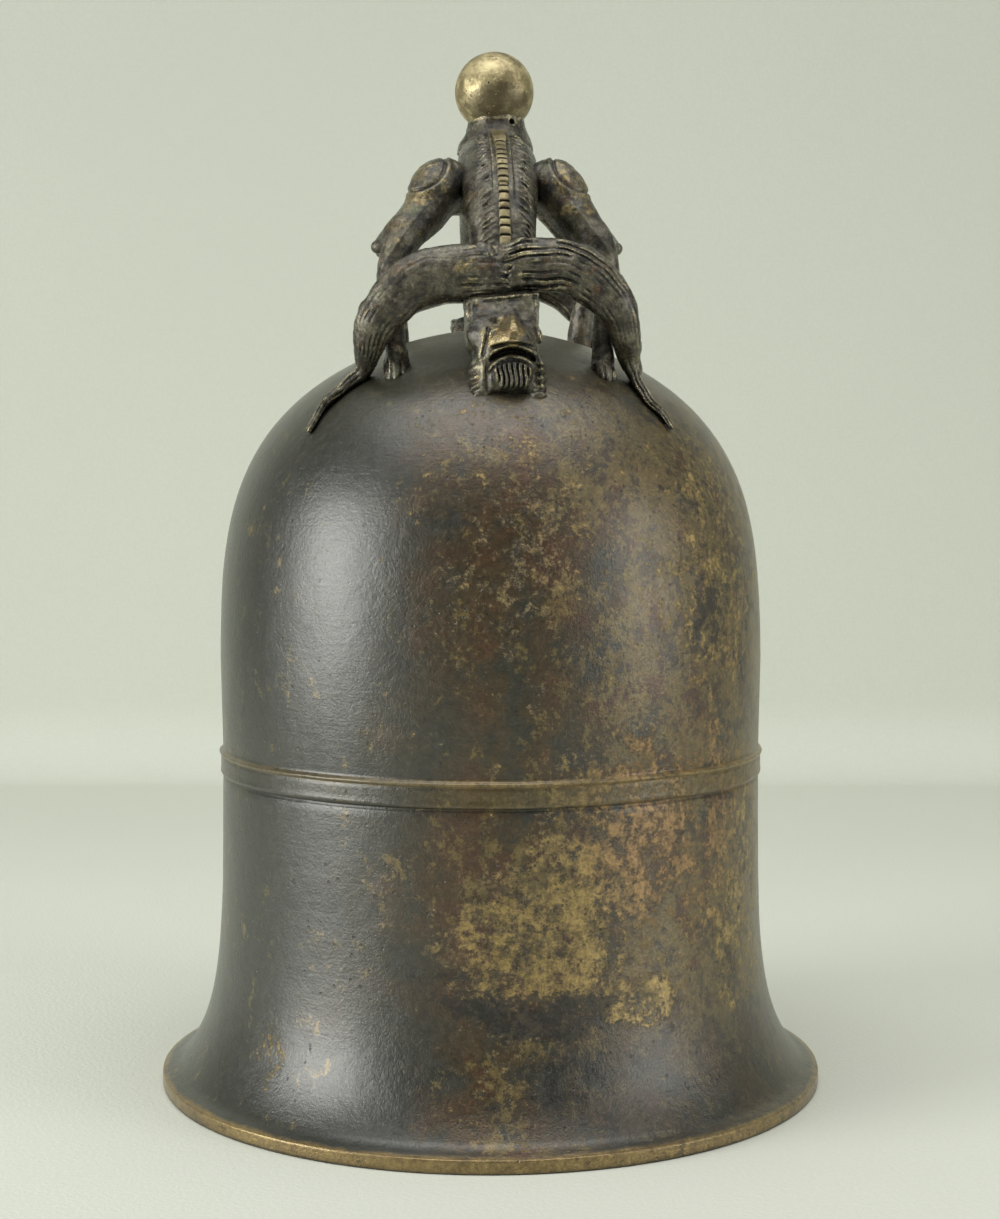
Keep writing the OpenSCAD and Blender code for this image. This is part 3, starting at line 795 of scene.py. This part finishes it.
REAR_LEG = [(9, -19, 46, 6, 6), (18, -23, 47.5, 7.8, 7.8), (24.5, -28, 40.5, 6, 6),
            (30.5, -32, 32.5, 5, 5), (34.8, -35, 22, 4.2, 4.1), (33.6, -37, 11, 4.1, 3.9),
            (32.2, -38.5, 2, 4.2, 3.9), (32, -40.5, -7, 4.2, 3.9), (32.2, -42, -13, 4.2, 4.3),
            (32.6, -43.5, -18, 4.3, 4.6)]
REAR_HOCK = [(30, -31, 32, 4.2, 4.2), (34.6, -29.4, 30, 3.4, 3.4), (37.4, -28, 28.4, 1.9, 2)]
LEFT_LOCK = [(1, -51.2, 13.6, 8.4, 5.6), (7, -51.5, 14, 8.8, 5.8), (12.3, -51.5, 13.7, 8.8, 5.7),
             (20.4, -51.4, 13, 8.5, 5.4), (26, -51.2, 11, 8.3, 5.2), (31.7, -51, 7.5, 8, 5),
             (36.5, -50.5, 1.8, 7.4, 4.8), (40.2, -49, -4.2, 6.5, 4.4), (41.6, -45, -10, 4.7, 3.9),
             (43, -40.5, -15.6, 3, 3.2), (46.8, -40.2, -19, 2.2, 2.4), (50.9, -41.2, -22.3, 1.9, 2.1),
             (55.8, -42.6, -27, 1.6, 1.8), (60, -46.2, -34.2, 1.1, 1.3)]
RIGHT_LOCK = [(1, -51.2, 15, 8.2, 5.6), (6, -51.5, 15.8, 8.4, 5.8), (10.3, -51.5, 15.9, 8.4, 5.7),
              (18.5, -51.3, 15.7, 8.4, 5.4), (24.4, -51, 13.5, 8.4, 5.2), (31.2, -50.6, 8.2, 7.4, 4.9),
              (35.7, -49.5, 2, 6.1, 4.6), (38.7, -46, -5.7, 4.8, 4.2), (39.8, -42, -11.5, 3.7, 3.6),
              (41.6, -41, -16.2, 2.7, 3), (42.6, -43.6, -20, 2.2, 2.4), (45.3, -48.4, -25.4, 1.9, 2.1),
              (48.8, -49.8, -28.8, 1.6, 1.8), (51.8, -52.1, -33.4, 1.1, 1.3)]
REAR_LOCK = [(1, -51, 21.5, 6.2, 5.6), (8, -51.2, 22, 6.3, 5.6), (14, -51.2, 21.4, 6.3, 5.4),
             (22, -51, 19, 6, 5), (30, -50.5, 13.6, 5.3, 4.6), (36.5, -48.5, 4.6, 4.7, 4.2),
             (40, -45, -6, 4, 3.6), (42.5, -40.5, -15.5, 3, 3), (46, -40.5, -19.2, 2.2, 2.4),
             (51, -42.5, -24, 1.8, 2), (56, -47, -33.5, 1.1, 1.3)]
RIDGE_X = 0.4
RIDGE_HALF_W = 1.65
BEAD_PITCH = 2.65
FACE_X = 1.9


def hammered(p, seed, size=1.0):
    """The small unevenness of wax that was worked by hand."""
    return size * (0.22 * value_noise(p, 4.5, seed) + 0.1 * value_noise(p, 1.6, seed + 1))


def back(p):
    """The arched trunk: scale marks beside the ridge, thin rails, and a lumpy joint behind each head."""
    limb = Limb(ARCH, (1, 0, 0))
    d, arc, across_way, x = limb.measure(p)
    outside = rise(-across_way * limb_sign(limb), -2, 2)
    scale = np.abs(np.mod(arc / 2.1 + 0.3 * value_noise(p, 3, 31) + 0.5 * np.abs(x - 1.2) / 2, 1) - 0.5) * 2
    column = bump(np.abs(x - 1.2) - 6.2, 1.7) * outside
    marks = 0.75 * column * (rise(scale, 0.2, 0.8) - 0.5) * (1 + 0.8 * value_noise(p, 2.0, 32))
    along_ridge = outside * rise(np.abs(p[:, 1]), 46, 40)
    rail = 0.35 * bump(np.abs(x - RIDGE_X) - 2.9, 0.35) * along_ridge
    gutter = -0.4 * bump(np.abs(x - RIDGE_X) - 3.7, 0.5) * along_ridge
    lumps = 0.8 * value_noise(p, 6, 33) * rise(np.abs(p[:, 1]), 40, 47)
    return d - marks - rail - gutter - lumps - hammered(p, 34)


def limb_sign(limb):
    """1 if the limb's square way points down at its middle, or -1."""
    return -1.0 if limb.u[len(limb.u) // 2][2] > 0 else 1.0


def spine(p):
    """The ridge down one half of the back: square beads, then a plain strip near the top."""
    limb = Limb(ARCH[:6], (1, 0, 0))
    d, arc, _, x = limb.measure(p)
    x = x - RIDGE_X
    length = limb.arc[-1]
    strip = np.maximum(np.abs(x) - RIDGE_HALF_W, d - 1.15)
    strip = np.maximum(strip, -1.6 - d)
    strip = np.maximum(strip, np.maximum(11 - arc, arc - length + 10.5))
    share = np.abs(np.mod(arc / BEAD_PITCH, 1) - 0.5)
    beaded = rise(length - arc, 19, 20.5)
    gap = 0.95 * bump(0.5 - share, 0.11) * beaded
    crowned = 0.2 * (x / RIDGE_HALF_W) ** 2 * beaded
    hollow = 0.4 * bump(x, 1.0) * (1 - beaded)
    return strip + gap + crowned + hollow - 0.35 - 0.6 * hammered(p, 41)


def head(wide, seed):
    """The beast's head: a lumpy forehead with a rim, a wedge nose, an arched mouth and a combed beard."""
    ears = [Limb([(-10.5, -56.5, -1.5, 1.3, 1.2), (-10.4, -56.2, 2, 1.9, 2.3), (-9.8, -55, 5.4, 1.7, 2.1),
                  (-8.6, -53.4, 8.6, 0.8, 0.8)], (1, -0.4, 0)),
            Limb([(8.9, -56, 3.4, 1.2, 1.3), (8.9, -54.6, 7.4, 1.3, 1.3)], (1, 0, 0))]
    jaw = [Limb([(side * 9 + 0.6, -57, -13, 1.5, 1.8), (side * 9.4 + 0.6, -60, -19, 1.8, 2),
                 (side * 8.8 + 0.8, -62.5, -25, 2.4, 2.2)], (0, 1, 0)) for side in (-1, 1)]

    def shape(p):
        p = p / (wide, 1, 1)
        u = p[:, 0] - FACE_X
        y, z = p[:, 1], p[:, 2]
        skull = rounded_box(p, (-0.8, -52, -2), (11.2, 7.5, 10), 4.2, -0.42)
        muzzle = rounded_box(p, (0.2, -58.2, -14.5), (9.4, 7, 10.5), 4.5, -0.1)
        d = join(skull, muzzle, 4)
        for cord in jaw:
            d = join(d, cord.measure(p)[0], 2.5)
        for ear in ears:
            leaf, _, _, across = ear.measure(p)
            d = join(d, leaf + 0.6 * bump(across, 0.6), 0.8)

        # Nose and mouth
        front = rise(-y, 55, 59)
        half = np.interp(-z, (-4, -1, 3, 8), (0.8, 1.9, 3.6, 7.4))
        under = z + 8.9 + 0.02 * u ** 2
        arch = z + 9.6 + 0.055 * u ** 2
        wedge = np.clip(1.25 * (1 - np.abs(u) / half), 0, 1)
        nose = 4.8 * wedge * rise(z, 5.0, -6.0) * rise(under, -0.5, 0.4)
        upper = 1.7 * bump(arch, 0.8) * rise(np.abs(u), 7.6, 6.4)
        gap = -2.2 * bump(arch + 1.6, 0.65) * rise(np.abs(u), 7.6, 6.2)
        lip = 1.7 * bump(z + 12.9 + 0.07 * u ** 2, 0.9) * rise(np.abs(u), 8.2, 6.8)

        # Beard
        hair = rise(z, -13.6 - 0.06 * u ** 2, -15 - 0.06 * u ** 2)
        narrow = 2.0 * rise(z, -16, -23)
        beard = hair * rise(np.abs(u), 7.0 - narrow, 5.2 - narrow) * rise(z, -24, -21.5)
        strand = u / 1.5 + 0.2 * np.sin(0.7 * z) + 0.25 * value_noise(p, 5, seed + 4)
        comb = np.abs(np.mod(strand, 1) - 0.5) * 2
        beard = beard * (2.3 - 1.0 * rise(comb, 0.45, 0.95) * (1 + 0.6 * value_noise(p, 2.5, seed + 5)))

        # Cheeks, eyes and forehead
        beside = -0.9 * bump(np.abs(u) - 7.8, 0.8) * rise(z, -12, -15) * rise(z, -24, -22)
        fold = -0.7 * bump(np.abs(u) - 8.2 + 0.2 * (z + 9), 0.6) * rise(z, -3, -5) * rise(z, -14, -12)
        socket = -0.9 * bump(np.hypot((np.abs(u) - 4.6) / 1.5, z + 3), 1.4)
        relief = (nose + upper + gap + lip + beard + beside + fold + socket) * front
        lid = 0.45 * bump(z + 3.1 + 0.05 * u ** 2, 0.45) * bump(np.abs(u) - 5, 1.9)
        rim = 0.9 * bump(z - 5.9 - 0.1 * u, 0.6) * rise(np.abs(u), 9.5, 8)
        behind = -1.0 * bump(z - 7.8 - 0.1 * u, 0.9)
        lumps = 0.8 * value_noise(p, 5.5, seed + 6) + 0.4 * value_noise(p, 2.2, seed + 7) * rise(z, -2, 4)
        relief += (lid + rim + behind) * rise(-y, 49, 52) + lumps * (1 - 0.7 * wedge)
        curls = 0.45 * np.sin(1.9 * z + 1.1 * y + 3 * value_noise(p, 6, seed)) * rise(z, -13, -16)
        return d - relief - curls * rise(np.abs(p[:, 0]), 7.5, 9.5) - hammered(p, seed)

    return shape


def mirrored(path, side, share=1.0):
    """A path on the left or right side, drawn in or out."""
    return [(side * x * share, y, z, a, b) for x, y, z, a, b in path]


def leg(path, knob, side, share, seed):
    """A leg: a haunch with an engraved curve, a blunt hock, a thin shank and a paw."""
    limb = Limb(mirrored(path, side, share), (0, 1, 0))
    hock = Limb(mirrored(knob, side, share), (0, 1, 0))

    def shape(p):
        d = limb.measure(p)[0]
        d = join(d, hock.measure(p)[0], 2.5)
        x, y, z = p[:, 0] * side, p[:, 1], p[:, 2]
        curve = np.hypot(x - 26.5, z - 50.5) - 9.3
        line = -0.7 * bump(curve, 0.45) * (y < -22) * rise(z, 37, 41)
        inner = 0.5 * bump(curve - 1.4, 0.9) * (y < -24) * rise(z, 39, 43)
        sinew = 0.6 * bump(x - 31.5 - 0.75 * (25 - z), 1.3) * rise(z, 17, 24) * rise(z, 38, 33)
        toes = -0.6 * bump(np.mod((x - 31.6) / 2.8 + 0.5, 1) - 0.5, 0.14) * rise(z, -12, -15) * (y < -44)
        lumps = 0.4 * value_noise(p, 6, seed + 4) + 0.4 * value_noise(p, 2.4, seed + 5) * rise(z, -4, -10)
        return d - line - inner - sinew - toes - lumps - hammered(p, seed)

    return shape


def lock(path, side, combed, seed):
    """A lock of the mane with combed strands. combed gives the depth of the grooves along it."""
    limb = Limb(mirrored(path, side), (0, 1, 0))

    def shape(p):
        d, arc, across, _ = limb.measure(p)
        share = arc / limb.arc[-1]
        width = np.interp(share, np.linspace(0, 1, len(path)), [row[3] for row in path])
        wander = 0.45 * value_noise(p, 6, seed)
        broad = rise(share, 0.72, 0.6)
        groove = 0.3 * broad * bump(np.mod((across / width + 1) * 9 + 2 * wander, 1) - 0.5, 0.3)
        for strands, weight in ((8, broad), (3, 1 - broad)):
            t = (across / width + 1) / 2 * strands + wander
            groove = groove + weight * bump(np.abs(np.mod(t, 1) - 0.5) * 2 - 1, 0.3)
        strength = np.interp(share, np.linspace(0, 1, len(combed)), combed)
        patchy = rise(value_noise(p, 3.6, seed + 2), -0.45, 0.25) * 1.2 + 0.1
        worn = 0.4 * value_noise(p, 5, seed + 3)
        worn += 0.6 * value_noise(p, 2.4, seed + 4) * rise(share, 0.16, 0.06)
        return d + strength * groove * patchy - worn - hammered(p, seed, 0.8)

    return shape


def lowered(path, drop):
    """A lock's path with its root lower."""
    return [(x, y, z - drop * max(0, 1 - i / 7), a, b) for i, (x, y, z, a, b) in enumerate(path)]


def jewel(p):
    """The ball on top, not quite round, with casting pits."""
    centre = np.array((0, 0, JEWEL_Z - CROWN_H))
    r = np.linalg.norm(p - centre, axis=1)
    flat = 0.25 * value_noise(p, 16, 61) + 0.06 * value_noise(p, 5, 62)
    pits = 0.9 * np.maximum(value_noise(p, 1.5, 63) - 0.72, 0)
    return r - (JEWEL_R - 0.15) - 0.5 * flat + pits


def collar(p):
    """The neck under the jewel, which spreads into the back, with a casting hole at its front right."""
    r = np.hypot(p[:, 0] - 0.4, p[:, 1])
    z = p[:, 2] - ARCH_H
    wide = 9.2 + 3.2 * rise(z, 4.5, -5.5) + 0.5 * value_noise(p, 7, 71)
    body = np.maximum(r - wide, np.maximum(-6 - z, z - 6.2))
    ball = np.linalg.norm(p - np.array((0, 0, JEWEL_Z - CROWN_H)), axis=1) - JEWEL_R + 0.9
    hole = ellipsoid(p, (5.2, -7.9, ARCH_H + 3.4), (0.9, 2.2, 0.9))
    return np.maximum(np.maximum(body - hammered(p, 72, 1.8), -hole), -ball)


# ---- Building the pieces ----

shell_look = shell_bronze()
hanger_look = hanger_bronze()
polished_look = polished_bronze()
striker_look = striker_bronze()
iron_look = old_iron()

shell = revolved("shell", shell_outline(), shell_look, cast_by_hand)
stands_for(shell, "bell_shell", "bell")

hanger = sculpt("back", back, (-16, -63, -4), (16, 63, 68), 0.42, hanger_look)
stands_for(hanger, "hanger_body", "bell")

# How deep each lock is combed, from the nape to the tip of its tail
COMBED = {"front_left": (0.4, 0.1, 0.1, 0.25, 0.45, 0.4, 0.3),
          "front_right": (0.5, 0.6, 0.4, 0.15, 0.3, 0.4, 0.3),
          "rear_left": (0.4, 0.5, 0.4, 0.2, 0.4, 0.4, 0.3),
          "rear_right": (0.4, 0.2, 0.2, 0.3, 0.4, 0.4, 0.3)}
LOCKS = {"front_left": LEFT_LOCK, "front_right": RIGHT_LOCK,
         "rear_left": lowered(REAR_LOCK, 3.5), "rear_right": REAR_LOCK}

for end, rear, seed in (("front", False, 100), ("rear", True, 200)):
    face = sculpt(end + "_face", head(1.2 if rear else 1.0, seed),
                  (-17, -74, -32), (17, -40, 15), 0.3, hanger_look, rear)
    stands_for(face, end + "_head", "bell")
    beads = sculpt(end + "_beads", spine, (-4, -66, 4), (4, -4, 68), 0.24, polished_look, rear)
    stands_for(beads, end + "_spine_ridge", "bell")
    path, knob = (REAR_LEG, REAR_HOCK) if rear else (LEG, HOCK)
    for side in (-1, 1):
        # The rear half is turned round, so its right is on the other side
        corner = end + ("_left" if (side < 0) != rear else "_right")
        share = 0.955 if corner == "front_right" else 1.0
        low, high = sorted((side * 3, side * 47))
        limb = sculpt(corner + "_limb", leg(path, knob, side, share, seed + 10 + side),
                      (low, -58, -32), (high, -8, 60), 0.36, hanger_look, rear)
        stands_for(limb, corner + "_leg", "bell")
        low, high = sorted((side * -10, side * 63))
        mane = sculpt(corner + "_mane", lock(LOCKS[corner], side, COMBED[corner], seed + 30 + side),
                      (low, -62, -40), (high, -30, 32), 0.3, hanger_look, rear)
        stands_for(mane, corner + "_lock", "bell")

neck = sculpt("neck", collar, (-13, -13, 54), (13, 13, 72), 0.3, hanger_look)
stands_for(neck, "jewel_collar", "bell")
ball = sculpt("jewel", jewel, (-15, -15, 61), (15, 15, 94), 0.36, polished_look)
stands_for(ball, "jewel_ball", "bell")

for node in ("jewel_dowel", "clapper_staple", "clapper_pin", "pin_washers", "clapper_rod", "ball_washer"):
    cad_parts[node].material_slots[0].material = iron_look
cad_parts["clapper_ball"].material_slots[0].material = striker_look


# ---- Stage, light and camera ----

def stage_sheet():
    """Floor that turns up softly into a backdrop."""
    low, high, turn_y, turn_r = -2.0, 2.2, 0.69, 0.05
    bend = [(turn_y - turn_r + turn_r * math.sin(a), turn_r - turn_r * math.cos(a))
            for a in np.radians(np.linspace(0, 90, 16))]
    line = [(y, 0.0) for y in np.linspace(low, turn_y - turn_r, 30)[:-1]] + bend
    line += [(turn_y, z) for z in np.linspace(turn_r, high, 30)[1:]]
    columns = np.linspace(-2.0, 2.0, 41)
    verts = np.array([(x, y, z) for y, z in line for x in columns]) / MM
    n = len(columns)
    i, j = np.meshgrid(np.arange(len(line) - 1), np.arange(n - 1), indexing="ij")
    a = (i * n + j).ravel()
    return mesh_object("stage_sheet", verts, np.column_stack([a, a + 1, a + n + 1, a + n]),
                       studio_paper("studio_paper", tint(210, 213, 200)))


def softbox(name, place, target, size, watts, colour):
    """Area light that faces a target."""
    light = bpy.data.lights.new(name, "AREA")
    light.shape = "RECTANGLE"
    light.size, light.size_y = size
    light.energy = watts
    light.spread = math.radians(110)
    light.color = colour
    obj = bpy.data.objects.new(name, light)
    obj.location = place
    obj.rotation_euler = (Vector(target) - Vector(place)).to_track_quat("-Z", "Y").to_euler()
    bpy.context.scene.collection.objects.link(obj)
    return obj


stage_sheet()
lights = [
    softbox("left_box", (-1.42, -0.59, 0.44), (0, 0, 0.16), (0.8, 0.9), 8.4, (1.0, 1.0, 0.98)),
    softbox("right_box", (1.42, -0.66, 0.44), (0, 0, 0.16), (0.6, 0.9), 3.6, (1.0, 1.0, 0.97)),
    softbox("top_box", (0.0, -0.35, 1.7), (0, -0.25, 0), (2.2, 1.3), 11.5, (1.0, 1.0, 1.0)),
]

world = bpy.data.worlds.new("studio")
world.use_nodes = True
world.node_tree.nodes["Background"].inputs["Color"].default_value = (0.8, 0.82, 0.8, 1.0)
world.node_tree.nodes["Background"].inputs["Strength"].default_value = 0.15

scene = bpy.context.scene
scene.world = world
scene.view_settings.view_transform = "Standard"

camera = bpy.data.cameras.new("camera")
camera.lens = 60.38
camera.sensor_width = 36
camera_object = bpy.data.objects.new("camera", camera)
camera_object.location = (0.00313, -0.6844, 0.1984)
camera_object.rotation_euler = (math.radians(90 - 3.567), 0, 0)
scene.collection.objects.link(camera_object)
scene.camera = camera_object
